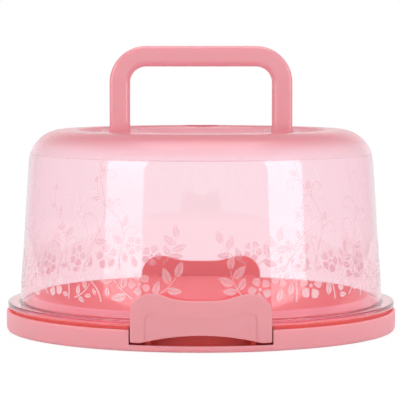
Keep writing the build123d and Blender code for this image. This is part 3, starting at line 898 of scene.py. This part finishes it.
def make_softbox(name, azimuth, distance, height, width, tall, radiance, low_share, mirrored):
    """Oblong lamp that faces the carrier. azimuth is in degrees to the right of the camera's side.
    Its lower part shines with low_share of the rest, and the change between the two is soft."""
    turn = math.radians(azimuth)
    place = (distance * math.sin(turn), -distance * math.cos(turn), height)
    lamp = place_lamp(name, place, width, tall, radiance)
    pitch = math.atan2(height - AIM_HEIGHT, distance)
    lamp.rotation_euler = (math.pi / 2 - pitch, 0.0, turn)
    lamp.visible_glossy = mirrored
    lamp.visible_transmission = mirrored
    lamp.visible_camera = False
    lamp.data.use_nodes = True
    tree = lamp.data.node_tree
    tree.nodes.clear()
    across = add_node(tree, "ShaderNodeNewGeometry").outputs["Parametric"]
    up = add_node(tree, "ShaderNodeSeparateXYZ", {"Vector": across}).outputs["Y"]
    share = add_node(
        tree,
        "ShaderNodeMapRange",
        {
            "Value": up,
            "From Min": DIM_BELOW,
            "From Max": FULL_ABOVE,
            "To Min": low_share,
            "To Max": 1.0,
        },
        interpolation_type="SMOOTHSTEP",
    ).outputs["Result"]
    glow = add_node(tree, "ShaderNodeEmission", {"Color": WHITE, "Strength": share})
    output = add_node(tree, "ShaderNodeOutputLight")
    tree.links.new(glow.outputs["Emission"], output.inputs["Surface"])


def make_studio():
    """A softbox on each side of the camera, a glow from behind that nothing mirrors, and a softbox
    overhead, in even light."""
    make_world()
    make_floor()
    for softbox in SOFTBOXES:
        make_softbox(*softbox)
    place_lamp(*OVERHEAD)


# ------------------------------------------------------------------------------------------ finish

SEAT_HEIGHT_MM = 19.1
AIR_GAP_MM = 0.05
SAME_HEIGHT_MM = 0.01


def dress(names, material):
    """Gives each of these nodes the one material."""
    for name in names:
        mesh = nodes[name].data
        mesh.materials.clear()
        mesh.materials.append(material)


def part_from_seat():
    """Lifts the dome's underside a hair off the tray's seat. Where two faces lie in one place,
    light that leaves the clear one can't find the other."""
    dome = nodes["lid_dome"]
    points = np.empty(3 * len(dome.data.vertices), np.float32)
    dome.data.vertices.foreach_get("co", points)
    off_seat = np.abs(points[2::3] - SEAT_HEIGHT_MM * MM)
    resting = np.flatnonzero(off_seat < SAME_HEIGHT_MM * MM)
    underside = dome.vertex_groups.new(name="underside")
    underside.add(resting.tolist(), 1.0, "REPLACE")
    lift = dome.modifiers.new("air_under_flange", "DISPLACE")
    lift.vertex_group = underside.name
    lift.direction = "Z"
    lift.mid_level = 0.0
    lift.strength = AIR_GAP_MM * MM


bpy.context.scene.view_settings.view_transform = "Standard"
make_camera()
make_studio()

# Polypropylene from a polished mould: an even pink that glows softly from inside, and a gloss that
# draws bright lines along the handle's rounded edges.
gloss_pink = moulded_plastic(
    "moulded_polypropylene_gloss",
    light="#E79FA8",
    deep="#E399A1",
    roughness=(0.07, 0.11),
    grain_mm=0.6,
    grain_height_mm=0.001,
    specular=0.9,
    milkiness=0.7,
)
# Polypropylene from a plain mould: duller, with a broad faint sheen. Its zones paint light and
# shade: the tray's seat and the platform's top are painted deeper red for the shade and the
# to-and-fro light under the lid, and the platform's side is painted paler for the light that falls
# on it.
plain_pink = moulded_plastic(
    "moulded_polypropylene_plain",
    light="#F0A0A8",
    deep="#EC9AA2",
    roughness=(0.46, 0.56),
    grain_mm=0.5,
    grain_height_mm=0.006,
    specular=0.3,
    milkiness=0.7,
    painted_shading_zones=(
        # painted shade: the seat, the latch pockets and all else under the lid, deep red
        ("#E5635F", 147.6, 148.4),  # the seat, and all that is further in
        # painted light: the platform's side, paler where light falls on it
        ("#F6A6AE", 132.0, 134.0),  # the platform's side
        # painted shade: the platform's top, deeper red
        ("#EE6B6E", 127.5, 129.2),  # the platform
    ),
)
# Polypropylene from an etched mould: a fine satin that spreads its highlights, dense enough for the
# line round its panel to stay crisp. Its inner side is painted redder, a painted glow for the light
# that comes through the latch and off the shaded red pocket.
satin_pink = moulded_plastic(
    "moulded_polypropylene_satin",
    light="#E299A0",
    deep="#DE9399",
    roughness=(0.30, 0.38),
    grain_mm=0.35,
    grain_height_mm=0.010,
    specular=0.5,
    milkiness=0.3,
    # painted glow and shade: the latches' inner sides, redder
    painted_shading_zones=(("#FF8584", 149.3, 150.6),),
)
# Styrene acrylonitrile, moulded clear with a little pink in it: sharp reflections, slow waves where
# it shrank in the mould, and a pink that deepens along the wall's edges and in the flange.
clear_pink = clear_plastic(
    "clear_styrene_acrylonitrile",
    skin="#FFFCFD",
    crown="#FFFCFD",
    body="#FEF0F4",
    depth_mm=2.3,
    roughness=(0.02, 0.04),
    wave_mm=45.0,
    wave_height_mm=0.03,
    clear_share=1.0,
)
# The same with white and pink pigment: milky, so that light comes through it and outlines hardly
# do, softer in its shine, and deepest where the shoulder turns over into the crest.
milky_pink = clear_plastic(
    "milky_styrene_acrylonitrile",
    skin="#FDE6ED",
    crown="#EBA1AA",
    body="#FEF0F4",
    depth_mm=2.3,
    roughness=(0.20, 0.25),
    wave_mm=45.0,
    wave_height_mm=0.03,
    clear_share=0.5,
)
dress(["base_tray"], plain_pink)
dress(["carry_handle", "handle_pin_left", "handle_pin_right"], gloss_pink)
dress(["front_latch", "rear_latch"], satin_pink)
dress(["lid_dome"], clear_pink)
dress(["lid_cap"], milky_pink)
dress([name for name in nodes if "latch_pin" in name], drawn_steel())
make_vine_print()
part_from_seat()
